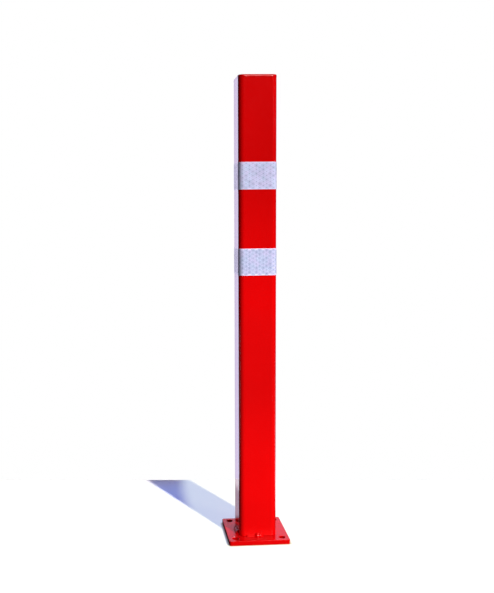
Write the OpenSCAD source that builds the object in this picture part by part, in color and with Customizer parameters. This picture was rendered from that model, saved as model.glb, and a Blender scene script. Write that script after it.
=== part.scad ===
// Bolt-down bollard: a square steel post with a welded cap, stitch welded to a base plate with
// four bolt holes, and wrapped with two bands of reflective tape. Sizes are in millimetres.
// Z is up, the origin is the middle of the plate's underside, and the front faces -Y.

/* [Post] */
// Width of the square hollow section across its flats
post_w = 80; // [66:1:90]
// Wall thickness of the hollow section
post_wall = 5; // [3:0.5:6]
// Outer corner radius of the hollow section
post_corner = 10; // [8:0.5:11]
// Length of the tube, from the plate to the cap
tube_len = 970; // [900:5:1200]
// Broken edge round the tube's foot, which leaves a groove above the plate between the welds
foot_edge = 1.25; // [0.5:0.25:2]

/* [Cap] */
// Thickness of the plate that closes the tube
cap_t = 4; // [3:0.5:6]
// Broken edge round the top of the cap
cap_edge = 0.5; // [0.25:0.25:1.5]
// Bevel on the tube's end and under the cap, which their weld fills
cap_bevel = 1.5; // [1:0.25:1.5]
// How far the dressed weld stands proud of the post
cap_bead_crown = 0.3; // [0.1:0.1:0.6]

/* [Base plate] */
// Side of the square base plate
plate_w = 130; // [128:1:220]
// Thickness of the base plate
plate_t = 10; // [6:0.5:16]
// Corner radius of the base plate
plate_corner = 4; // [2:0.5:10]
// Broken edge round the top and the underside of the plate
plate_edge = 0.75; // [0.25:0.25:1.5]
// Diameter of the four bolt holes
bolt_hole_d = 14; // [9:0.5:15]
// Distance from the plate's edges to the middle of a bolt hole
bolt_inset = 15; // [12:0.5:16]

/* [Foot welds] */
// Length of each stitch weld along its side of the post
stitch_len = 38; // [26:1:44]
// Leg of the weld, up the post and out on the plate
stitch_leg = 7; // [6:0.25:8]
// Distance of the front and the back stitch from the end of their side's flat
front_stitch_in = 4; // [0:1:12]
// Distance of the left and the right stitch from the end of their side's flat
side_stitch_in = 0; // [0:1:12]
// Length of one ripple, where the weld pool froze before it moved on
ripple_len = 7.25; // [5:0.25:8]
// Radius of a ripple's crown
ripple_r = 4.5; // [4.25:0.25:5.5]

/* [Tape bands] */
// Width of the reflective tape
tape_w = 56; // [25:1:80]
// Thickness of the tape
tape_t = 0.5; // [0.3:0.1:0.8]
// Length by which the tape's end laps over its start, behind the post
tape_lap = 20; // [10:1:40]
// Height of the lower band's bottom edge above the plate
lower_band_h = 564; // [200:1:600]
// Height of bare post between the two bands
band_gap = 122; // [40:1:140]

/* [Hidden] */
$fn = 64;

paint_red = [0.85, 0.02, 0.03];
tape_white = [0.83, 0.81, 0.90];

cap_z = plate_t + tube_len;
lower_band_z = plate_t + lower_band_h;
upper_band_z = lower_band_z + tape_w + band_gap;
bolt_reach = plate_w / 2 - bolt_inset;
post_inner_w = post_w - 2 * post_wall;
post_inner_corner = post_corner - post_wall;
post_flat = post_w - 2 * post_corner;
// Cuts run past the faces that they open by this much
cut_past = 1;

// A square with round corners, centred on the origin
module round_square(w, r) {
    square([w, w - 2 * r], center = true);
    square([w - 2 * r, w], center = true);
    for (sx = [-1, 1], sy = [-1, 1])
        translate([sx * (w / 2 - r), sy * (w / 2 - r)]) circle(r);
}

// Repeats its child, drawn for the +X side, on the four sides of a square
module on_each_side() {
    for (turn = [0 : 90 : 270]) rotate([0, 0, turn]) children();
}

// Half of a slab's section: reach wide from the axis, with its outer edges broken
module slab_section(reach, t, low_edge, top_edge) {
    polygon([
        [0, 0],
        [reach - low_edge, 0],
        [reach, low_edge],
        [reach, t - top_edge],
        [reach - top_edge, t],
        [0, t]
    ]);
}

// A round-cornered square slab whose edges stay evenly broken round its corners
module broken_slab(w, r, t, low_edge, top_edge) {
    on_each_side()
        translate([0, w / 2 - r, 0])
            rotate([90, 0, 0])
                linear_extrude(w - 2 * r) slab_section(w / 2, t, low_edge, top_edge);
    on_each_side()
        translate([w / 2 - r, w / 2 - r, 0])
            rotate_extrude() slab_section(r, t, low_edge, top_edge);
}

module post_tube() {
    color(paint_red)
        translate([0, 0, plate_t])
            difference() {
                broken_slab(post_w, post_corner, tube_len, foot_edge, cap_bevel);
                translate([0, 0, -cut_past])
                    linear_extrude(tube_len + 2 * cut_past)
                        round_square(post_inner_w, post_inner_corner);
            }
}

module top_cap() {
    color(paint_red)
        translate([0, 0, cap_z])
            broken_slab(post_w, post_corner, cap_t, cap_bevel, cap_edge);
}

// Section of the cap's weld: its root lies inwards of the face, its crown just outside
module cap_weld_section(face) {
    polygon([
        [face - cap_bevel, 0],
        [face, -cap_bevel],
        [face + cap_bead_crown, -cap_bevel / 2],
        [face + cap_bead_crown, cap_bevel / 2],
        [face, cap_bevel]
    ]);
}

module cap_weld() {
    color(paint_red)
        translate([0, 0, cap_z]) {
            on_each_side()
                translate([0, post_flat / 2, 0])
                    rotate([90, 0, 0])
                        linear_extrude(post_flat) cap_weld_section(post_w / 2);
            on_each_side()
                translate([post_flat / 2, post_flat / 2, 0])
                    rotate_extrude(angle = 90) cap_weld_section(post_corner);
        }
}

module base_plate() {
    color(paint_red)
        difference() {
            broken_slab(plate_w, plate_corner, plate_t, plate_edge, plate_edge);
            for (sx = [-1, 1], sy = [-1, 1])
                translate([sx * bolt_reach, sy * bolt_reach, -cut_past])
                    cylinder(d = bolt_hole_d, h = plate_t + 2 * cut_past);
        }
}

// Outline of a stitch: a row of round crowns beside the weld's root line, which is the Y axis.
// The first and the last crown lie lower, where the weld starts and dies out.
module stitch_outline() {
    count = max(4, round((stitch_len - 2 * ripple_r) / ripple_len) + 1);
    step = (stitch_len - 2 * ripple_r) / (count - 1);
    crown_x = stitch_leg - ripple_r;
    end_drop = crown_x / 3;
    for (i = [0 : count - 1])
        translate([crown_x - (i == 0 || i == count - 1 ? end_drop : 0), ripple_r + i * step])
            circle(ripple_r);
    square([crown_x - end_drop, stitch_len]);
    translate([0, ripple_r + step]) square([crown_x, stitch_len - 2 * (ripple_r + step)]);
}

// One stitch on the front: the outline turned a quarter round the line where post and plate meet,
// and the root that fills the groove behind it. It starts this far from the left end of the flat.
module stitch_weld(start) {
    translate([start - post_flat / 2, -post_w / 2, plate_t]) {
        rotate([180, -90, 0])
            rotate_extrude(angle = 90)
                intersection() {
                    stitch_outline();
                    square([stitch_leg, stitch_len]);
                }
        rotate([90, 0, 90])
            linear_extrude(stitch_len)
                polygon([[0, 0], [foot_edge, 0], [0, foot_edge]]);
    }
}

module weld_front() {
    color(paint_red) stitch_weld(front_stitch_in);
}

module weld_left() {
    color(paint_red)
        rotate([0, 0, -90]) stitch_weld(post_flat - stitch_len - side_stitch_in);
}

module weld_right() {
    color(paint_red)
        rotate([0, 0, 90]) stitch_weld(post_flat - stitch_len - side_stitch_in);
}

module weld_back() {
    color(paint_red) rotate([0, 0, 180]) stitch_weld(front_stitch_in);
}

// A strip of tape wrapped once round the post, its end lying on its start behind the post
module tape_band(base_z) {
    color(tape_white)
        translate([0, 0, base_z])
            linear_extrude(tape_w)
                difference() {
                    union() {
                        round_square(post_w + 2 * tape_t, post_corner + tape_t);
                        translate([-tape_lap / 2, 0]) square([tape_lap, post_w / 2 + 2 * tape_t]);
                    }
                    round_square(post_w, post_corner);
                }
}

module tape_band_upper() {
    tape_band(upper_band_z);
}

module tape_band_lower() {
    tape_band(lower_band_z);
}

post_tube();
top_cap();
cap_weld();
base_plate();
weld_front();
weld_left();
weld_right();
weld_back();
tape_band_upper();
tape_band_lower();
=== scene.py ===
"""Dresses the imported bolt-down bollard: painted post, cap, seams and base plate, and two tape bands.

Everything is in metres in the part's own frame: Z up, the plate's underside on the floor, and the
front face looking along -Y.
"""

import math

import bmesh
import bpy
from mathutils import Matrix, Vector


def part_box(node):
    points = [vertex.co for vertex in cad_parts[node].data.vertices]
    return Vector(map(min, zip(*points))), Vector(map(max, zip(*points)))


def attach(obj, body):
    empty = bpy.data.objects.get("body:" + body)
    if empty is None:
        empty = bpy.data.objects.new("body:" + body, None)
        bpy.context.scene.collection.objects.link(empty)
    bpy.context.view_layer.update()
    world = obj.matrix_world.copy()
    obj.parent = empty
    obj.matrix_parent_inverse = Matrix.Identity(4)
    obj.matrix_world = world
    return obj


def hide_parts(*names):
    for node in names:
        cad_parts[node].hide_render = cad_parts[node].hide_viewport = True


MM = 0.001
BODY = "root"

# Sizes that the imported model's boxes don't give. The post's corners ease into its hollow faces, so
# that they look larger than the section's own radius.
POST_CORNER = 11.5 * MM
TUBE_WALL = 5 * MM
TUBE_END_BEVEL = 1.5 * MM
TUBE_FOOT_EDGE = 1.25 * MM
FACE_DIP = 0.3 * MM
CAP_EDGE = 0.3 * MM
SEAM_CROWN = 0.3 * MM
SEAM_SINK = 0.02 * MM
PLATE_CORNER = 4 * MM
PLATE_EDGE = 0.75 * MM
BOLT_HOLE = 14 * MM
BOLT_INSET = 15 * MM
WELD_LEG = 7 * MM
WELD_ROOT = 0.1 * MM
RIPPLE_PITCH = 7.25 * MM
RIPPLE_CROWN = 4.5 * MM
TAPE_THICK = 0.5 * MM
TAPE_LAP = 20 * MM
TAPE_BORDER = 1.2 * MM
CELL_PITCH = 8.25 * MM
CELL_RISE = 0.12 * MM
# Radians of the finer marks' wave in a metre
MARK_WAVE = 8 * math.pi / (math.sqrt(3) * CELL_PITCH)

# Steps that the round and the long shapes are drawn in
ROUND_STEPS = 16
FACE_STEPS = 24
HOLE_STEPS = 48
TUBE_STEPS = 8
EDGE_STEPS = 5
SEAM_STEPS = 8
BEAD_ALONG = 160
BEAD_ACROSS = 27
TAPE_ALONG = 420
TAPE_ACROSS = 9

# Share of a slanting face's direction that points along either of its axes
SLANT = math.sqrt(0.5)


# Helpers for node trees

def add(tree, kind, inputs=None, **settings):
    """Adds a node with its settings, and fills its inputs with values or links them to sockets."""
    node = tree.nodes.new(kind)
    for key, value in settings.items():
        setattr(node, key, value)
    for key, value in (inputs or {}).items():
        if isinstance(value, bpy.types.NodeSocket):
            tree.links.new(value, node.inputs[key])
        else:
            node.inputs[key].default_value = value
    return node


def maths(tree, operation, *values):
    """A Math node on one to three values or sockets."""
    node = add(tree, "ShaderNodeMath", dict(enumerate(values)), operation=operation)
    return node.outputs[0]


def ramp_between(tree, value, low, high, out_low=0.0, out_high=1.0):
    """Carries a value from one range smoothly over to another."""
    node = add(tree, "ShaderNodeMapRange", {
        "Value": value, "From Min": low, "From Max": high, "To Min": out_low, "To Max": out_high},
        interpolation_type="SMOOTHSTEP")
    return node.outputs["Result"]


def tone_between(tree, value, low, high, first, last):
    """Goes from the first colour to the last as a value rises from low to high."""
    node = add(tree, "ShaderNodeValToRGB", {"Fac": value})
    stops = node.color_ramp.elements
    stops[0].position = low
    stops[0].color = first
    stops[1].position = high
    stops[1].color = last
    return node.outputs["Color"]


def mix_values(tree, share, first, second):
    """Goes from the first value to the second as the share rises from 0 to 1."""
    return add(tree, "ShaderNodeMix", {0: share, 2: first, 3: second}).outputs[0]


def mix_colors(tree, share, first, second):
    """Goes from the first colour to the second as the share rises from 0 to 1."""
    node = add(tree, "ShaderNodeMix", {0: share, 6: first, 7: second}, data_type="RGBA")
    return node.outputs[2]


def vector_maths(tree, operation, first, second):
    """A Vector Math node on two vectors, which gives a vector."""
    node = add(tree, "ShaderNodeVectorMath", {0: first, 1: second}, operation=operation)
    return node.outputs[0]


def scaled(tree, vector, factor):
    """A vector times a value."""
    node = add(tree, "ShaderNodeVectorMath", {0: vector, 3: factor}, operation="SCALE")
    return node.outputs[0]


def vector_of(tree, **parts):
    """A vector from its X, Y and Z, where a part that isn't given is zero."""
    return add(tree, "ShaderNodeCombineXYZ", parts).outputs[0]


def parts_of(tree, vector):
    """A vector's X, Y and Z."""
    return add(tree, "ShaderNodeSeparateXYZ", {0: vector}).outputs


def active(sockets, name):
    """The socket of this name that the node's own data type uses."""
    return [socket for socket in sockets if socket.name == name and socket.enabled][0]


def shader_tree(owner):
    """Empties the node tree of a material or a world, to build it anew."""
    owner.use_nodes = True
    owner.node_tree.nodes.clear()
    return owner.node_tree


def shape_tree(name, **sizes):
    """An empty Geometry Nodes tree with named inputs for its sizes."""
    tree = bpy.data.node_groups.new(name, "GeometryNodeTree")
    tree.interface.new_socket("Geometry", in_out="OUTPUT", socket_type="NodeSocketGeometry")
    tree.interface.new_socket("Geometry", in_out="INPUT", socket_type="NodeSocketGeometry")
    for key, value in sizes.items():
        if isinstance(value, bpy.types.Material):
            kind = "NodeSocketMaterial"
        elif isinstance(value, int):
            kind = "NodeSocketInt"
        else:
            kind = "NodeSocketFloat"
        tree.interface.new_socket(key, in_out="INPUT", socket_type=kind)
    start = tree.nodes.new("NodeGroupInput")
    return tree, start.outputs


def close_tree(tree, geometry, material):
    """Ends a tree: real faces, then their material."""
    real = add(tree, "GeometryNodeRealizeInstances", {"Geometry": geometry})
    done = add(tree, "GeometryNodeSetMaterial", {"Geometry": real.outputs[0], "Material": material})
    end = tree.nodes.new("NodeGroupOutput")
    tree.links.new(done.outputs[0], end.inputs[0])


def mesh_from_tree(name, tree, base, **sizes):
    """Runs a tree on a base mesh with these sizes, and keeps the result as a plain mesh."""
    carrier = bpy.data.objects.new(name + "_base", base)
    bpy.context.scene.collection.objects.link(carrier)
    modifier = carrier.modifiers.new(name, "NODES")
    modifier.node_group = tree
    for socket in tree.interface.items_tree:
        if socket.in_out == "INPUT" and socket.name in sizes:
            modifier[socket.identifier] = sizes[socket.name]
    evaluated = carrier.evaluated_get(bpy.context.evaluated_depsgraph_get())
    mesh = bpy.data.meshes.new_from_object(evaluated)
    mesh.name = name
    carrier.modifiers.remove(modifier)
    bpy.data.objects.remove(carrier)
    return mesh


# Meshes swept round the rounded square of the post and the plate

def square_outline(half, corner, dip=0.0):
    """Points round a rounded square, each with its outward direction, from the middle of the back.

    The faces of a rolled hollow section sink a little between their corners, by dip at the middle.
    """
    flat = half - corner
    points = []
    for side in range(4):
        turn = Matrix.Rotation(side * math.pi / 2, 2)
        for step in range(FACE_STEPS // 2, FACE_STEPS):
            points.append((turn, *face_point(step, flat, half, dip)))
        for step in range(ROUND_STEPS):
            angle = step / ROUND_STEPS * math.pi / 2
            out = Vector((-math.sin(angle), math.cos(angle)))
            points.append((turn, Vector((-flat, flat)) + corner * out, out))
        next_turn = Matrix.Rotation((side + 1) * math.pi / 2, 2)
        for step in range(FACE_STEPS // 2):
            points.append((next_turn, *face_point(step, flat, half, dip)))
    return [(turn @ point, turn @ out) for turn, point, out in points]


def face_point(step, flat, half, dip):
    """One point of the back face, on its way from +X to -X, and its outward direction."""
    share = 2 * step / FACE_STEPS - 1
    sink = dip * (1 - share * share)
    slope = 2 * dip * share / flat
    return Vector((-flat * share, half - sink)), Vector((slope, 1)).normalized()


def arc(centre, radius, start, end, steps):
    """Profile points on an arc: offset, height, and the direction that the surface faces."""
    points = []
    for step in range(steps + 1):
        angle = math.radians(start + (end - start) * step / steps)
        out, up = math.cos(angle), math.sin(angle)
        points.append((centre[0] + radius * out, centre[1] + radius * up, out, up))
    return points


def swept_wall(outline, profile, base=0, closed=False):
    """Vertices, normals and faces of a profile swept round an outline, numbered from base."""
    vertices, normals, faces = [], [], []
    for offset, height, out, up in profile:
        for point, side in outline:
            vertices.append((*(point + offset * side), height))
            normals.append((*(side * out), up))
    count = len(outline)
    rows = len(profile) if closed else len(profile) - 1
    for row in range(rows):
        low = base + row * count
        high = base + (row + 1) % len(profile) * count
        for i in range(count):
            j = (i + 1) % count
            faces.append((low + i, low + j, high + j, high + i))
    return vertices, normals, faces


def sweep(name, outline, profile, closed=False, fill=False):
    """Sweeps a profile round an outline. Every corner takes its own normal, so flats stay flat."""
    vertices, normals, faces = swept_wall(outline, profile, closed=closed)
    if fill:
        count = len(outline)
        faces.append(tuple(range(count))[::-1])
        faces.append(tuple(range(len(vertices) - count, len(vertices))))
    mesh = bpy.data.meshes.new(name)
    mesh.from_pydata(vertices, [], faces)
    mesh.shade_smooth()
    mesh.normals_split_custom_set_from_vertices(normals)
    return mesh


# What finished meshes go through

def face_outwards(mesh):
    """Turns a closed mesh's faces outwards."""
    form = bmesh.new()
    form.from_mesh(mesh)
    bmesh.ops.recalc_face_normals(form, faces=form.faces)
    form.to_mesh(mesh)
    form.free()


def piece(name, mesh, material, slot, *nodes):
    """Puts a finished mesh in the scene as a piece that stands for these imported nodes."""
    mesh.materials.clear()
    mesh.materials.append(material)
    made = bpy.data.objects.new(name, mesh)
    bpy.context.scene.collection.objects.link(made)
    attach(made, BODY)
    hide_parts(*nodes)


# The frame

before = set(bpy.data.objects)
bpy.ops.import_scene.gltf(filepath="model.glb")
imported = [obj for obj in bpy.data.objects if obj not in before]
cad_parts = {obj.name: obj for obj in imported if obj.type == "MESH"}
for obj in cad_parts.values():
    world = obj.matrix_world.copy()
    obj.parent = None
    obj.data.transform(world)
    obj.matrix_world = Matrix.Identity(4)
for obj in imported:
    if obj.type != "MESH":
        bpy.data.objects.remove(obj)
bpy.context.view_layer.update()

post_low, post_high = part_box("post_tube")
cap_low, cap_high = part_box("top_cap")
plate_low, plate_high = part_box("base_plate")
POST_HALF = post_high.x
PLATE_TOP = plate_high.z


# Materials

PAINT_DEEP = (0.48, 0.0004, 0.0007, 1)
PAINT_BRIGHT = (0.52, 0.0005, 0.0009, 1)
CELL_DEEP = (0.33, 0.35, 0.52, 1)
CELL_PALE = (0.53, 0.55, 0.75, 1)
CELL_SEAL = (0.59, 0.56, 0.76, 1)
TINT_GREEN = (0.96, 1.02, 1.0, 1)
TINT_ROSE = (1.05, 0.97, 1.0, 1)
# Cells have a tone above this, and the film between them has none
LEAST_TONE = 0.1


def paint_material():
    """Thick gloss paint: faint orange peel, a slight drift of tone, and roughness that varies."""
    material = bpy.data.materials.new("gloss_red_paint")
    tree = shader_tree(material)
    place = add(tree, "ShaderNodeTexCoord").outputs["Object"]
    drift = add(tree, "ShaderNodeTexNoise", {"Vector": place, "Scale": 9.0, "Detail": 2.0})
    peel = add(tree, "ShaderNodeTexNoise", {"Vector": place, "Scale": 260.0, "Detail": 1.5})
    waves = add(tree, "ShaderNodeTexNoise", {"Vector": place, "Scale": 45.0, "Detail": 1.0})
    tone = tone_between(tree, drift.outputs["Fac"], 0.3, 0.7, PAINT_DEEP, PAINT_BRIGHT)
    rough = ramp_between(tree, peel.outputs["Fac"], 0.3, 0.7, 0.16, 0.22)
    height = maths(tree, "MULTIPLY_ADD", waves.outputs["Fac"], 2.0, peel.outputs["Fac"])
    bump = add(tree, "ShaderNodeBump", {
        "Height": height, "Strength": 0.25, "Distance": 0.06 * MM}).outputs["Normal"]
    surface = add(tree, "ShaderNodeBsdfPrincipled", {
        "Base Color": tone,
        "Roughness": rough,
        "IOR": 1.5,
        "Coat Weight": 1.0,
        "Coat Roughness": 0.05,
        "Coat IOR": 1.5,
        "Normal": bump,
        "Coat Normal": bump,
    })
    add(tree, "ShaderNodeOutputMaterial", {"Surface": surface.outputs[0]})
    return material


def tape_material():
    """Reflective film: clear face over pale cells, each a little lighter or darker than the next."""
    material = bpy.data.materials.new("honeycomb_reflective_film")
    tree = shader_tree(material)
    place = add(tree, "ShaderNodeTexCoord").outputs["Object"]
    cell = add(tree, "ShaderNodeAttribute", attribute_name="cell_tone").outputs["Fac"]
    middle = add(tree, "ShaderNodeAttribute", attribute_name="from_middle").outputs["Vector"]
    away = add(tree, "ShaderNodeVectorMath", {0: middle}, operation="LENGTH").outputs["Value"]
    prisms = add(tree, "ShaderNodeTexVoronoi", {"Vector": place, "Scale": 900.0})
    glints = add(tree, "ShaderNodeTexNoise", {"Vector": place, "Scale": 500.0, "Detail": 1.0})
    tone = tone_between(tree, cell, 0.0, 1.0, CELL_DEEP, CELL_PALE)
    # A darker spot marks the middle of each cell, and the seals between the cells are paler
    spot = ramp_between(tree, away, 0.7 * MM, 1.6 * MM, 0.76, 1.0)
    # Finer marks lie in step with the spots, at half their distance
    local = parts_of(tree, middle)
    crests = 0.0
    for turn in (0, 60, -60):
        angle = math.radians(turn)
        along = maths(tree, "MULTIPLY", local["X"], math.cos(angle) * MARK_WAVE)
        way = maths(tree, "MULTIPLY_ADD", local["Y"], math.sin(angle) * MARK_WAVE, along)
        crests = maths(tree, "ADD", maths(tree, "COSINE", way), crests)
    marks = ramp_between(tree, crests, 0.3, 2.5, 1.0, 0.75)
    cell_color = scaled(tree, tone, maths(tree, "MULTIPLY", spot, marks))
    # The prisms split the light a little, so that the tint drifts along the film
    hue = add(tree, "ShaderNodeTexNoise", {"Vector": place, "Scale": 70.0, "Detail": 1.0})
    tint = tone_between(tree, hue.outputs["Fac"], 0.35, 0.65, TINT_GREEN, TINT_ROSE)
    on_cell = maths(tree, "GREATER_THAN", cell, LEAST_TONE)
    color = mix_colors(tree, on_cell, CELL_SEAL, cell_color)
    rough = ramp_between(tree, glints.outputs["Fac"], 0.35, 0.65, 0.2, 0.34)
    bump = add(tree, "ShaderNodeBump", {
        "Height": prisms.outputs["Distance"], "Strength": 0.3, "Distance": 0.1 * MM})
    surface = add(tree, "ShaderNodeBsdfPrincipled", {
        "Base Color": vector_maths(tree, "MULTIPLY", color, tint),
        "Roughness": rough,
        "IOR": 1.5,
        "Coat Weight": 1.0,
        "Coat Roughness": 0.06,
        "Normal": bump.outputs["Normal"],
    })
    add(tree, "ShaderNodeOutputMaterial", {"Surface": surface.outputs[0]})
    return material


paint = paint_material()
film = tape_material()


# Post, cap and their seam

post_outline = square_outline(POST_HALF, POST_CORNER, FACE_DIP)


def make_post():
    """The tube: rounded at its foot, bevelled at its top for the seam, and hollow."""
    low, high = post_low.z, post_high.z
    foot = TUBE_FOOT_EDGE
    bevel = TUBE_END_BEVEL
    profile = arc((-foot, low + foot), foot, -90, 0, 4)
    for part in range(1, TUBE_STEPS):
        profile.append((0, low + (high - low) * part / TUBE_STEPS, 1, 0))
    profile += [(0, high - bevel, 1, 0), (-bevel, high, SLANT, SLANT)]
    profile += [(-TUBE_WALL, high, -SLANT, SLANT), (-TUBE_WALL, low, -SLANT, -SLANT)]
    return sweep("post", post_outline, profile, closed=True)


def make_cap():
    """The closing plate, with the seam's bevel underneath and a rounded edge on top."""
    bevel = TUBE_END_BEVEL
    profile = [(-bevel, cap_low.z, SLANT, -SLANT), (0, cap_low.z + bevel, 1, 0)]
    profile += arc((-CAP_EDGE, cap_high.z - CAP_EDGE), CAP_EDGE, 0, 90, EDGE_STEPS + 1)
    return sweep("cap", post_outline, profile, fill=True)


def make_cap_seam():
    """The seam in the groove between tube and cap: its crown just outside, its rims just inside."""
    bevel = TUBE_END_BEVEL
    profile = [(-bevel, cap_low.z, -1, 0)]
    for step in range(SEAM_STEPS + 1):
        share = 2 * step / SEAM_STEPS - 1
        slope = math.pi / 2 * SEAM_CROWN / bevel * math.sin(math.pi / 2 * share)
        facing = Vector((1, slope)).normalized()
        rise = SEAM_CROWN * math.cos(math.pi / 2 * share) - SEAM_SINK
        profile.append((rise, cap_low.z + bevel * share, *facing))
    return sweep("cap_seam", post_outline, profile, closed=True)


piece("post", make_post(), paint, "red_paint", "post_tube")
piece("cap", make_cap(), paint, "red_paint", "top_cap")
piece("cap_seam", make_cap_seam(), paint, "red_paint", "cap_weld")


# Base plate with its bolt holes

def circle_outline(centre, radius, steps):
    """Points round a bolt hole, each facing the hole's middle."""
    points = []
    for step in range(steps):
        angle = -step / steps * math.tau
        out = Vector((math.cos(angle), math.sin(angle)))
        points.append((Vector(centre) + radius * out, -out))
    return points


def fill_face(form, loops, facing):
    """Fills a flat face between its rim and the rims of the holes in it."""
    edges = []
    for loop in loops:
        for first, second in zip(loop, loop[1:] + loop[:1]):
            edges.append(form.edges.get((form.verts[first], form.verts[second])))
    bmesh.ops.triangle_fill(form, use_beauty=True, use_dissolve=False, edges=edges, normal=facing)


def make_plate():
    """A slab whose rim and holes are rounded over, and whose two faces are filled round the holes."""
    half = plate_high.x
    reach = half - BOLT_INSET
    edge = PLATE_EDGE
    bottom, top = plate_low.z, plate_high.z
    profile = arc((-edge, bottom + edge), edge, -90, 0, EDGE_STEPS)
    profile += arc((-edge, top - edge), edge, 0, 90, EDGE_STEPS)
    outlines = [square_outline(half, PLATE_CORNER)]
    for x in (-reach, reach):
        for y in (-reach, reach):
            outlines.append(circle_outline((x, y), BOLT_HOLE / 2, HOLE_STEPS))
    vertices, normals, faces, low_rims, high_rims = [], [], [], [], []
    for outline in outlines:
        count, base = len(outline), len(vertices)
        wall_vertices, wall_normals, wall_faces = swept_wall(outline, profile, base)
        vertices += wall_vertices
        normals += wall_normals
        faces += wall_faces
        low_rims.append(list(range(base, base + count)))
        high_rims.append(list(range(len(vertices) - count, len(vertices))))
    mesh = bpy.data.meshes.new("plate")
    mesh.from_pydata(vertices, [], faces)
    form = bmesh.new()
    form.from_mesh(mesh)
    form.verts.ensure_lookup_table()
    form.edges.ensure_lookup_table()
    fill_face(form, low_rims, Vector((0, 0, -1)))
    fill_face(form, high_rims, Vector((0, 0, 1)))
    form.normal_update()
    for face in form.faces:
        face.smooth = True
        above = face.calc_center_median().z > (bottom + top) / 2
        flat = abs(face.normal.z) > 0.999
        if flat and above != (face.normal.z > 0):
            face.normal_flip()
    form.to_mesh(mesh)
    form.free()
    mesh.normals_split_custom_set_from_vertices(normals)
    return mesh


piece("plate", make_plate(), paint, "red_paint", "base_plate")


# Stitch welds at the foot

# Shares of a ripple by which the ripples' places drift and their crowns bow along the bead
RIPPLE_DRIFT = 0.3
RIPPLE_BOW = -0.22
# Share of the leg by which the bead's height is uneven
BEAD_UNEVEN = 0.2
# The calm part: its fillet's legs as a share of the full one, and its ripples' share of their depth
CALM_LEGS = 0.6
CALM_DEPTH = 0.2
WELD_SEED = 3.0


def ripple_crown(tree, size, along, angle, drift):
    """How far the round crowns stand up: they bow along the bead, and are uneven in length."""
    off_middle = maths(tree, "SUBTRACT", maths(tree, "DIVIDE", angle, math.pi / 4), 1.0)
    bow = maths(tree, "MULTIPLY", maths(tree, "MULTIPLY", off_middle, off_middle), RIPPLE_BOW)
    past_first = maths(tree, "SUBTRACT", along, size["Start"])
    count = maths(tree, "DIVIDE", past_first, size["Ripple"])
    phase = maths(tree, "ADD", maths(tree, "MULTIPLY_ADD", drift, RIPPLE_DRIFT, count), bow)
    from_crest = maths(tree, "MULTIPLY", size["Ripple"], maths(tree, "PINGPONG", phase, 0.5))
    return maths(tree, "SQRT", maths(
        tree, "SUBTRACT", maths(tree, "MULTIPLY", size["Crown"], size["Crown"]),
        maths(tree, "MULTIPLY", from_crest, from_crest)))


def bead_reach(tree, size, share_along, along, angle):
    """How far the bead's face lies from the line where post and plate meet."""
    where = vector_of(tree, X=along, Y=maths(tree, "MULTIPLY", angle, 4 * MM))
    drift = add(tree, "ShaderNodeTexNoise", {
        "Vector": where, "W": size["Seed"], "Scale": 110.0, "Detail": 1.0},
        noise_dimensions="4D").outputs["Fac"]
    crown = ripple_crown(tree, size, along, angle, drift)
    # Up to the share Calm the pool moved evenly: the bead is a small flat fillet, hardly rippled
    calm_start = maths(tree, "SUBTRACT", size["Calm"], 0.1)
    calm_end = maths(tree, "ADD", size["Calm"], 0.05)
    depth = ramp_between(tree, share_along, calm_start, calm_end, CALM_DEPTH, 1.0)
    swell = ramp_between(tree, share_along, calm_start, calm_end)
    from_slant = maths(tree, "COSINE", maths(tree, "SUBTRACT", angle, math.pi / 4))
    fillet = maths(tree, "DIVIDE", CALM_LEGS * SLANT, from_slant)
    section = maths(tree, "MULTIPLY_ADD", maths(tree, "SUBTRACT", 1.0, fillet), swell, fillet)
    fall = maths(tree, "MULTIPLY", maths(tree, "SUBTRACT", crown, size["Crown"]), depth)
    body = maths(tree, "ADD", size["Leg"], maths(tree, "MULTIPLY", fall, size["Depth"]))
    unevenness = maths(tree, "MULTIPLY", maths(tree, "SUBTRACT", drift, 0.5), depth)
    level = maths(tree, "MULTIPLY_ADD", unevenness, BEAD_UNEVEN, section)
    reach = maths(tree, "MULTIPLY", body, level)
    # Ends: the bead rises over the share LeadIn, and dies out over the share RunOut
    from_end = maths(tree, "SUBTRACT", 1.0, share_along)
    for away, lead in ((share_along, size["LeadIn"]), (from_end, size["RunOut"])):
        part = maths(tree, "MINIMUM", maths(tree, "DIVIDE", away, lead), 1.0)
        left = maths(tree, "SUBTRACT", 1.0, part)
        rise = maths(tree, "SUBTRACT", 1.0, maths(tree, "MULTIPLY", left, left))
        reach = maths(tree, "MULTIPLY", reach, maths(tree, "SQRT", rise))
    return reach


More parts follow.
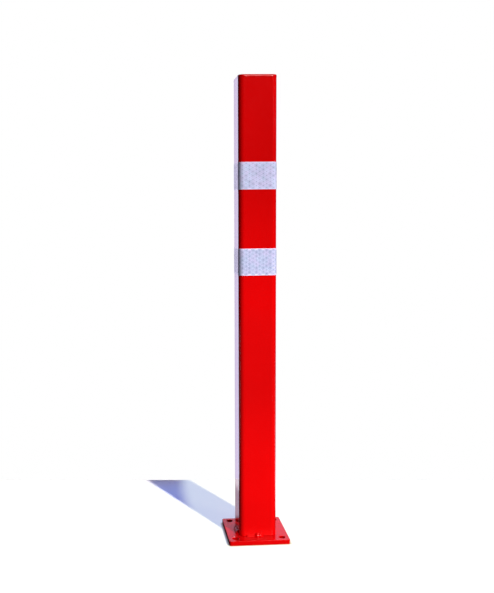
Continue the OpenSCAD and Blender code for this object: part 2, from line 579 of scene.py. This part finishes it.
def weld_tree():
    """One stitch weld along X: a convex fillet whose pool froze in ripples, dying out at its ends."""
    tree, size = shape_tree("rippled_weld", Length=0.0, Leg=0.0, Ripple=0.0, Crown=0.0,
                            Depth=0.0, Start=0.0, Calm=0.0, LeadIn=0.0, RunOut=0.0, Seed=0.0,
                            Material=paint)
    sheet = add(tree, "GeometryNodeMeshGrid", {
        "Size X": 1.0, "Size Y": 1.0, "Vertices X": BEAD_ALONG, "Vertices Y": BEAD_ACROSS})
    place = parts_of(tree, add(tree, "GeometryNodeInputPosition").outputs[0])
    share_along = maths(tree, "ADD", place["X"], 0.5)
    share_across = maths(tree, "ADD", place["Y"], 0.5)
    along = maths(tree, "MULTIPLY", share_along, size["Length"])
    # The sheet's last rows run to the root and back to the start, which closes the section
    last_arc = (BEAD_ACROSS - 3) / (BEAD_ACROSS - 1)
    root = (BEAD_ACROSS - 2) / (BEAD_ACROSS - 1)
    on_arc = maths(tree, "LESS_THAN", share_across, last_arc + 0.01)
    at_root = maths(tree, "COMPARE", share_across, root, 0.01)
    turn = maths(tree, "MULTIPLY", maths(tree, "DIVIDE", share_across, last_arc), math.pi / 2)
    angle = maths(tree, "MULTIPLY", turn, on_arc)
    reach = maths(tree, "MULTIPLY", bead_reach(tree, size, share_along, along, angle),
                  maths(tree, "SUBTRACT", 1.0, at_root))
    out = maths(tree, "MULTIPLY", maths(tree, "MULTIPLY", reach, maths(tree, "COSINE", angle)), -1.0)
    up = maths(tree, "MULTIPLY", reach, maths(tree, "SINE", angle))
    moved = add(tree, "GeometryNodeSetPosition", {
        "Geometry": sheet.outputs["Mesh"], "Position": vector_of(tree, X=along, Y=out, Z=up)})
    merged = add(tree, "GeometryNodeMergeByDistance", {
        "Geometry": moved.outputs[0], "Distance": 0.002 * MM})
    smooth = add(tree, "GeometryNodeSetShadeSmooth", {"Geometry": merged.outputs[0]})
    close_tree(tree, smooth.outputs[0], size["Material"])
    return tree


def make_welds():
    """Makes each stitch along the front and turns it to its side, where its packed box lies."""
    tree = weld_tree()
    root = Vector((0, -POST_HALF + FACE_DIP + WELD_ROOT, PLATE_TOP - WELD_ROOT))
    # Each weld's side in degrees, its ripples' depth as a share, the place of its first crest, and
    # the shares of its length that stay calm, rise at its start and run out at its end
    beads = {"weld_front": (0, 0.55, 3.0 * MM, 0.55, 0.1, 0.2),
             "weld_right": (90, 0.35, RIPPLE_CROWN, 0.0, 0.5, 0.2),
             "weld_back": (180, 0.4, RIPPLE_CROWN, 0.0, 0.1, 0.14),
             "weld_left": (-90, 0.3, RIPPLE_CROWN, 0.0, 0.1, 0.36)}
    for number, (node, bead) in enumerate(beads.items()):
        turn, depth, crest, calm, lead_in, run_out = bead
        turned = Matrix.Rotation(math.radians(turn), 4, "Z")
        ends = [(turned.inverted() @ corner).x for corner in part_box(node)]
        root.x = min(ends)
        base = bpy.data.meshes.new("weld_start")
        mesh = mesh_from_tree(node + "_bead", tree, base, Length=max(ends) - min(ends),
                              Leg=WELD_LEG, Ripple=RIPPLE_PITCH, Crown=RIPPLE_CROWN,
                              Depth=depth, Start=crest, Calm=calm, LeadIn=lead_in,
                              RunOut=run_out, Seed=WELD_SEED + number, Material=paint)
        mesh.transform(turned @ Matrix.Translation(root))
        face_outwards(mesh)
        piece(node + "_bead", mesh, paint, "red_paint", node)


make_welds()


# Tape bands

# Cells that fit across the tape, and their foot and top as shares of the room that each has
CELL_ROWS = 7
CELL_FOOT = 0.95
CELL_TOP = 0.8
TONE_SEED = 5


def wrap_path():
    """The line round the post that a tape follows, from the back's middle, and its length."""
    points = [point for point, out in post_outline]
    mesh = bpy.data.meshes.new("wrap_path")
    count = len(points)
    mesh.from_pydata([(*p, 0) for p in points], [(i, (i + 1) % count) for i in range(count)], [])
    length = sum((points[i] - points[i - 1]).length for i in range(count))
    return mesh, length


def backing_strip(tree, size, total):
    """The film under the cells: a thin flat box along X."""
    strip = add(tree, "GeometryNodeMeshCube", {
        "Size": vector_of(tree, X=total, Y=size["Width"], Z=size["Thickness"]),
        "Vertices X": TAPE_ALONG, "Vertices Y": TAPE_ACROSS, "Vertices Z": 2})
    middle = vector_of(tree, X=maths(tree, "MULTIPLY", total, 0.5),
                       Z=maths(tree, "MULTIPLY", size["Thickness"], 0.5))
    return add(tree, "GeometryNodeTransform", {
        "Geometry": strip.outputs["Mesh"], "Translation": middle}).outputs[0]


def honeycomb_points(tree, size, total):
    """The middles of the cells: two grids of points, one set half a step over from the other."""
    step = maths(tree, "MULTIPLY", size["Pitch"], math.sqrt(3))
    columns = maths(tree, "ROUND", maths(tree, "DIVIDE", total, step))
    half_length = maths(tree, "MULTIPLY", total, 0.5)
    both = tree.nodes.new("GeometryNodeJoinGeometry")
    for shift, rows in ((0.0, CELL_ROWS), (0.5, CELL_ROWS - 1)):
        grid = add(tree, "GeometryNodeMeshGrid", {
            "Size X": maths(tree, "MULTIPLY", step, maths(tree, "SUBTRACT", columns, 1.0)),
            "Size Y": maths(tree, "MULTIPLY", size["Pitch"], rows - 1.0),
            "Vertices X": columns, "Vertices Y": rows})
        over = vector_of(tree, X=maths(tree, "MULTIPLY_ADD", step, shift - 0.25, half_length))
        points = add(tree, "GeometryNodeTransform", {
            "Geometry": grid.outputs["Mesh"], "Translation": over})
        tree.links.new(points.outputs[0], both.inputs[0])
    return both.outputs[0]


def one_cell(tree, size):
    """A low six-sided pad, whose points keep their place in it for the film's marks."""
    radius = maths(tree, "MULTIPLY", size["Pitch"], 0.5 / math.cos(math.pi / 6))
    pad = add(tree, "GeometryNodeMeshCone", {
        "Vertices": 6, "Side Segments": 1, "Fill Segments": 2,
        "Radius Bottom": maths(tree, "MULTIPLY", radius, CELL_FOOT),
        "Radius Top": maths(tree, "MULTIPLY", radius, CELL_TOP),
        "Depth": CELL_RISE})
    place = add(tree, "GeometryNodeInputPosition").outputs[0]
    marked = add(tree, "GeometryNodeStoreNamedAttribute", {
        "Geometry": pad.outputs["Mesh"], "Name": "from_middle"},
        domain="POINT", data_type="FLOAT_VECTOR")
    tree.links.new(place, active(marked.inputs, "Value"))
    return marked.outputs[0]


def toned_cells(tree, size, points, cell):
    """A cell at each point, with a tone of its own, raised on to the backing."""
    cells = add(tree, "GeometryNodeInstanceOnPoints", {"Points": points, "Instance": cell})
    number = add(tree, "GeometryNodeInputIndex")
    chance = add(tree, "FunctionNodeRandomValue", {
        "ID": number.outputs[0], "Seed": size["Seed"]}, data_type="FLOAT")
    tree.links.new(size["Darkest"], active(chance.inputs, "Min"))
    tree.links.new(size["Palest"], active(chance.inputs, "Max"))
    toned = add(tree, "GeometryNodeStoreNamedAttribute", {
        "Geometry": cells.outputs[0], "Name": "cell_tone"}, domain="INSTANCE", data_type="FLOAT")
    tree.links.new(active(chance.outputs, "Value"), active(toned.inputs, "Value"))
    solid = add(tree, "GeometryNodeRealizeInstances", {"Geometry": toned.outputs[0]})
    fine = add(tree, "GeometryNodeSubdivideMesh", {"Mesh": solid.outputs[0], "Level": 1})
    return add(tree, "GeometryNodeTransform", {
        "Geometry": fine.outputs[0],
        "Translation": vector_of(tree, Z=size["Thickness"])}).outputs[0]


def trimmed_cells(tree, size, total, cells):
    """The cells cut off at the clear border along the strip's edges."""
    flat = parts_of(tree, add(tree, "GeometryNodeInputPosition").outputs[0])
    last_y = maths(tree, "SUBTRACT", maths(tree, "MULTIPLY", size["Width"], 0.5), TAPE_BORDER)
    last_x = maths(tree, "SUBTRACT", total, TAPE_BORDER)
    kept_y = maths(tree, "MAXIMUM", maths(tree, "MINIMUM", flat["Y"], last_y),
                   maths(tree, "MULTIPLY", last_y, -1.0))
    kept_x = maths(tree, "MAXIMUM", maths(tree, "MINIMUM", flat["X"], last_x), TAPE_BORDER)
    return add(tree, "GeometryNodeSetPosition", {
        "Geometry": cells,
        "Position": vector_of(tree, X=kept_x, Y=kept_y, Z=flat["Z"])}).outputs[0]


def wound_strip(tree, size, length, strip):
    """Winds the flat strip round the post: X runs along the path, Y up, and Z outwards."""
    flat = parts_of(tree, add(tree, "GeometryNodeInputPosition").outputs[0])
    line = add(tree, "GeometryNodeMeshToCurve", {"Mesh": size["Geometry"]})
    from_start = maths(tree, "SUBTRACT", flat["X"], maths(tree, "MULTIPLY", size["Lap"], 0.5))
    run = maths(tree, "FLOORED_MODULO", from_start, length)
    sample = add(tree, "GeometryNodeSampleCurve", {"Curves": line.outputs[0], "Length": run},
                 mode="LENGTH", data_type="FLOAT_VECTOR")
    side = vector_maths(tree, "CROSS_PRODUCT", sample.outputs["Tangent"], (0, 0, 1))
    # Where the strip comes round to its start it climbs on to it
    climb_start = length - 1.5 * MM
    climb_end = length + 0.5 * MM
    lapped = ramp_between(tree, flat["X"], climb_start, climb_end)
    outwards = maths(tree, "MULTIPLY_ADD", lapped, size["Thickness"], flat["Z"])
    around = vector_maths(tree, "ADD", sample.outputs["Position"], scaled(tree, side, outwards))
    high = vector_of(tree, Z=maths(tree, "ADD", flat["Y"], size["Base"]))
    return add(tree, "GeometryNodeSetPosition", {
        "Geometry": strip, "Position": vector_maths(tree, "ADD", around, high)}).outputs[0]


def tape_tree(length):
    """A strip with a honeycomb of raised cells, wound once round the path with its end lapped."""
    tree, size = shape_tree("honeycomb_tape", Width=0.0, Thickness=0.0, Lap=0.0, Pitch=0.0,
                            Base=0.0, Darkest=0.0, Palest=0.0, Seed=0, Material=film)
    total = maths(tree, "ADD", length, size["Lap"])
    points = honeycomb_points(tree, size, total)
    cells = toned_cells(tree, size, points, one_cell(tree, size))
    strip = tree.nodes.new("GeometryNodeJoinGeometry")
    tree.links.new(trimmed_cells(tree, size, total, cells), strip.inputs[0])
    tree.links.new(backing_strip(tree, size, total), strip.inputs[0])
    close_tree(tree, wound_strip(tree, size, length, strip.outputs[0]), size["Material"])
    return tree


def make_bands():
    """Winds both bands, each with its own tones, and fits a whole number of cells round the post."""
    path, length = wrap_path()
    tree = tape_tree(length)
    cells_round = round(length / (CELL_PITCH * math.sqrt(3)))
    pitch = length / cells_round / math.sqrt(3)
    tones = {"tape_band_upper": (0.4, 0.95), "tape_band_lower": (0.11, 0.48)}
    for number, (node, (darkest, palest)) in enumerate(tones.items()):
        low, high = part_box(node)
        mesh = mesh_from_tree(node + "_film", tree, path, Width=high.z - low.z,
                              Thickness=TAPE_THICK, Lap=TAPE_LAP, Pitch=pitch,
                              Base=(low.z + high.z) / 2, Darkest=darkest, Palest=palest,
                              Seed=TONE_SEED + number, Material=film)
        face_outwards(mesh)
        piece(node + "_film", mesh, film, "reflective_tape", node)


make_bands()


# Camera

# As fitted to the part's edges in its picture: the sensor and the lens in millimetres, the shift as
# a share of the sensor, the place in metres, and the turns in degrees
SENSOR = 36
LENS = 48.874
SHIFT = 0.13451
CAMERA_PLACE = Vector((-0.28174, -1.69965, 0.7105))
CAMERA_YAW = -3.1582
CAMERA_PITCH = 6.0862
CAMERA_ROLL = -0.6925


def place_camera():
    """Heads along +Y, turned by the yaw, looking down by the pitch, and tilted by the roll."""
    data = bpy.data.cameras.new("camera")
    data.sensor_width = SENSOR
    data.sensor_fit = "AUTO"
    data.lens = LENS
    data.shift_x = SHIFT
    camera = bpy.data.objects.new("camera", data)
    yaw = math.radians(CAMERA_YAW)
    pitch = math.radians(CAMERA_PITCH)
    roll = math.radians(CAMERA_ROLL)
    heading = Matrix.Rotation(yaw, 3, "Z")
    right = heading @ Vector((1, 0, 0))
    ahead = heading @ Vector((0, math.cos(pitch), -math.sin(pitch)))
    above = right.cross(ahead)
    x_axis = math.cos(roll) * right + math.sin(roll) * above
    y_axis = -math.sin(roll) * right + math.cos(roll) * above
    turned = Matrix((x_axis, y_axis, -ahead)).transposed()
    camera.matrix_world = Matrix.Translation(CAMERA_PLACE) @ turned.to_4x4()
    bpy.context.scene.collection.objects.link(camera)
    bpy.context.scene.camera = camera


place_camera()


# Floor, lamps and world

# Two points of the floor's far edge, and how far forward the floor reaches
FLOOR_EDGE_LEFT = Vector((-0.619, 0.411))
FLOOR_EDGE_RIGHT = Vector((0.678, 0.292))
FLOOR_FRONT = -4
# The floor's colour and its glow, which paint its shadow pale and bluish near the part, and darker
# where the shadow ends on the far left
NEAR_LIT = (0.55, 0.50, 0.25, 1)
NEAR_GLOW = (0.47, 0.56, 0.79, 1)
FAR_LIT = (1.02, 0.97, 0.86, 1)
FAR_GLOW = (0.0, 0.08, 0.41, 1)
# A painted reflection: the glow that only the gloss sees on the floor behind the part
FLOOR_GLOW_IN_GLOSS = (0.9, 0.7, 0.92, 1)
GLOSS_GLOW_STRENGTH = 0.42
# The painted contact shade's reach, and its power in front of the plate and beside and behind it
CONTACT_REACH = 6 * MM
CONTACT_FRONT = 0.8
CONTACT_REST = 3.0

# The distant lamps: the side that each stands on, its height and its spread in degrees, and its
# power
KEY_LAMP = ((0.418, -0.908, 0), 42.0, 1.5, 4.2)
SIDE_LAMP = ((0.707, -0.707, 0), 8.0, 12, 1.6)
REAR_LAMPS = {
    "rear": ((0.25, 0.97, 0), 55.0, 22, 1.9),
    "rear_left": ((-0.64, 0.77, 0), 22.0, 15, 0.8),
    "rear_right": ((0.8, 0.6, 0), 48.0, 10, 0.8),
}
# The near lamps: the height of each in metres, its spread in degrees, and its power
POOL_SIDE = Vector((0.47, -0.883, 0))
POOL_DISTANCE = 1.2
POOL_LAMPS = {"low_pool": (0.13, 24, 0.2), "mid_pool": (0.51, 28, 0.16)}

# The surroundings' tint, and their light from the back and from all sides
WORLD_TINT = (0.9, 0.83, 1.15, 1)
BACK_LIGHT = 2.4
LEAST_LIGHT = 0.015


def floor_material():
    """Pale floor: white to the camera where it is lit; the object's shadow is kept, and the floor's
    glow paints it pale and bluish.
    """
    material = bpy.data.materials.new("pale_floor")
    tree = shader_tree(material)
    ray = add(tree, "ShaderNodeLightPath").outputs
    place = add(tree, "ShaderNodeNewGeometry").outputs["Position"]
    spot = parts_of(tree, place)
    # Towards the far left the floor's colour and glow change, so that the shadow there is painted
    # darker
    far_side = ramp_between(tree, spot["X"], -0.16, -0.115, 1.0, 0.0)
    grain = add(tree, "ShaderNodeTexNoise", {"Vector": place, "Scale": 14.0, "Detail": 3.0})
    lit = mix_colors(tree, far_side, NEAR_LIT, FAR_LIT)
    pale = mix_colors(tree, far_side, NEAR_GLOW, FAR_GLOW)
    face = add(tree, "ShaderNodeBsdfDiffuse", {"Color": lit})
    # On the far left the glow fades out towards the floor's edge, which paints the shadow's far end
    # darker
    far_end = ramp_between(tree, spot["Y"], 0.28, 0.42, 0.0, far_side)
    fade = maths(tree, "MULTIPLY_ADD", far_end, -0.9, 1.0)
    # Close to the plate the glow is dimmed by a painted contact shade, standing for less of the pale
    # room reaching the floor, and least beside and behind it
    near = add(tree, "ShaderNodeAmbientOcclusion", {"Distance": CONTACT_REACH}, samples=16)
    shaded = ramp_between(tree, spot["Y"], -0.068, -0.064, CONTACT_FRONT, CONTACT_REST)
    contact = maths(tree, "POWER", near.outputs["AO"], shaded)
    glow = add(tree, "ShaderNodeEmission", {
        "Color": pale, "Strength": maths(tree, "MULTIPLY", fade, contact)})
    seen = add(tree, "ShaderNodeAddShader", {0: face.outputs[0], 1: glow.outputs[0]})
    # A painted reflection: in the gloss the floor is dark in front of the post and close by on its
    # left, standing for the card's reach, and pale behind
    beside = ramp_between(tree, spot["X"], -0.1, -0.075)
    past_painted_dark = ramp_between(tree, spot["Y"], 0.22, 0.3, beside, 1.0)
    behind = ramp_between(tree, spot["Y"], 0.07, 0.12, 0.0, past_painted_dark)
    mirror_tone = maths(tree, "MULTIPLY_ADD", behind, 0.5, 0.01)
    bounce_tone = ramp_between(tree, grain.outputs["Fac"], 0.3, 0.7, 0.05, 0.08)
    level = mix_values(tree, ray["Is Glossy Ray"], bounce_tone, mirror_tone)
    grey = add(tree, "ShaderNodeCombineColor", {0: level, 1: level, 2: level})
    plain = add(tree, "ShaderNodeBsdfDiffuse", {"Color": grey.outputs[0]})
    # Painted reflection: the floor behind the part glows in the gloss only
    mirrored = maths(tree, "MULTIPLY", maths(tree, "MULTIPLY", ray["Is Glossy Ray"], behind),
                     GLOSS_GLOW_STRENGTH)
    gloss_glow = add(tree, "ShaderNodeEmission", {"Color": FLOOR_GLOW_IN_GLOSS, "Strength": mirrored})
    unseen = add(tree, "ShaderNodeAddShader", {0: plain.outputs[0], 1: gloss_glow.outputs[0]})
    whole = add(tree, "ShaderNodeMixShader", {
        0: ray["Is Camera Ray"], 1: unseen.outputs[0], 2: seen.outputs[0]})
    add(tree, "ShaderNodeOutputMaterial", {"Surface": whole.outputs[0]})
    return material


def make_floor():
    """A floor whose far edge runs through the two edge points and ends there."""
    along = FLOOR_EDGE_RIGHT - FLOOR_EDGE_LEFT
    left = FLOOR_EDGE_LEFT - along * 2
    right = FLOOR_EDGE_RIGHT + along * 2
    corners = [(*left, 0), (*right, 0), (right.x, FLOOR_FRONT, 0), (left.x, FLOOR_FRONT, 0)]
    mesh = bpy.data.meshes.new("floor")
    mesh.from_pydata(corners, [], [(3, 2, 1, 0)])
    mesh.materials.append(floor_material())
    floor = bpy.data.objects.new("floor", mesh)
    bpy.context.scene.collection.objects.link(floor)
    return floor


def add_lamp(name, kind, towards, at=(0, 0, 0), **settings):
    """A lamp at a place, shining from the direction towards."""
    data = bpy.data.lights.new(name, kind)
    for key, value in settings.items():
        setattr(data, key, value)
    lamp = bpy.data.objects.new(name, data)
    turned = Vector(towards).to_track_quat("Z", "Y").to_matrix().to_4x4()
    lamp.matrix_world = Matrix.Translation(at) @ turned
    bpy.context.scene.collection.objects.link(lamp)
    return lamp


def distant_lamp(name, side, height, spread, power):
    """A lamp as far away as the sun."""
    rise = math.radians(height)
    towards = Vector(side).normalized() * math.cos(rise) + Vector((0, 0, math.sin(rise)))
    return add_lamp(name, "SUN", towards, energy=power, angle=math.radians(spread))


def make_lamps(floor):
    """A hard key and soft low lamps from the right, and three from behind that spare the floor."""
    distant_lamp("key", *KEY_LAMP)
    soft = [distant_lamp("side", *SIDE_LAMP)]
    front = POOL_SIDE.normalized()
    for name, (height, spread, power) in POOL_LAMPS.items():
        at = front * POOL_DISTANCE + Vector((0, 0, height))
        soft.append(add_lamp(name, "AREA", front, at, energy=power, size=0.1, shape="SQUARE",
                             spread=math.radians(spread)))
    rear = [distant_lamp(name, *lamp) for name, lamp in REAR_LAMPS.items()]
    spared = bpy.data.collections.new("not_lit_from_behind")
    spared.objects.link(floor)
    spared.collection_objects[0].light_linking.link_state = "EXCLUDE"
    for lamp in rear:
        lamp.light_linking.receiver_collection = spared
    # Only the key shows as a glint in the gloss
    for lamp in soft + rear:
        lamp.visible_camera = False
        lamp.visible_glossy = False


def make_world():
    """White to the camera, white behind the object in its gloss, and soft light from the back."""
    world = bpy.data.worlds.new("studio")
    bpy.context.scene.world = world
    tree = shader_tree(world)
    ray = add(tree, "ShaderNodeLightPath").outputs
    way = parts_of(tree, add(tree, "ShaderNodeTexCoord").outputs["Generated"])
    # On the left the white backdrop ends in a dark card
    card = ramp_between(tree, way["X"], -0.41, -0.33)
    left_top = ramp_between(tree, way["Z"], 0.17, 0.3, card, 0.0)
    right_top = ramp_between(tree, way["Z"], 0.1, 0.42, 1.0, 0.3)
    on_right = maths(tree, "GREATER_THAN", way["X"], 0.0)
    upwards = mix_values(tree, on_right, left_top, right_top)
    backdrop = ramp_between(tree, way["Y"], 0.7, 0.85, 0.0, upwards)
    soft_back = ramp_between(tree, way["Y"], 0.65, 0.9, 0.0, BACK_LIGHT)
    ambient = maths(tree, "ADD", soft_back, LEAST_LIGHT)
    sharp = maths(tree, "MAXIMUM", ray["Is Glossy Ray"], ray["Is Transmission Ray"])
    strength = mix_values(tree, sharp, ambient, backdrop)
    level = mix_values(tree, ray["Is Camera Ray"], strength, 1.0)
    tint = mix_colors(tree, ray["Is Camera Ray"], WORLD_TINT, (1, 1, 1, 1))
    light = add(tree, "ShaderNodeBackground", {"Color": tint, "Strength": level})
    add(tree, "ShaderNodeOutputWorld", {"Surface": light.outputs[0]})


make_lamps(make_floor())
make_world()
bpy.context.scene.view_settings.view_transform = "Standard"
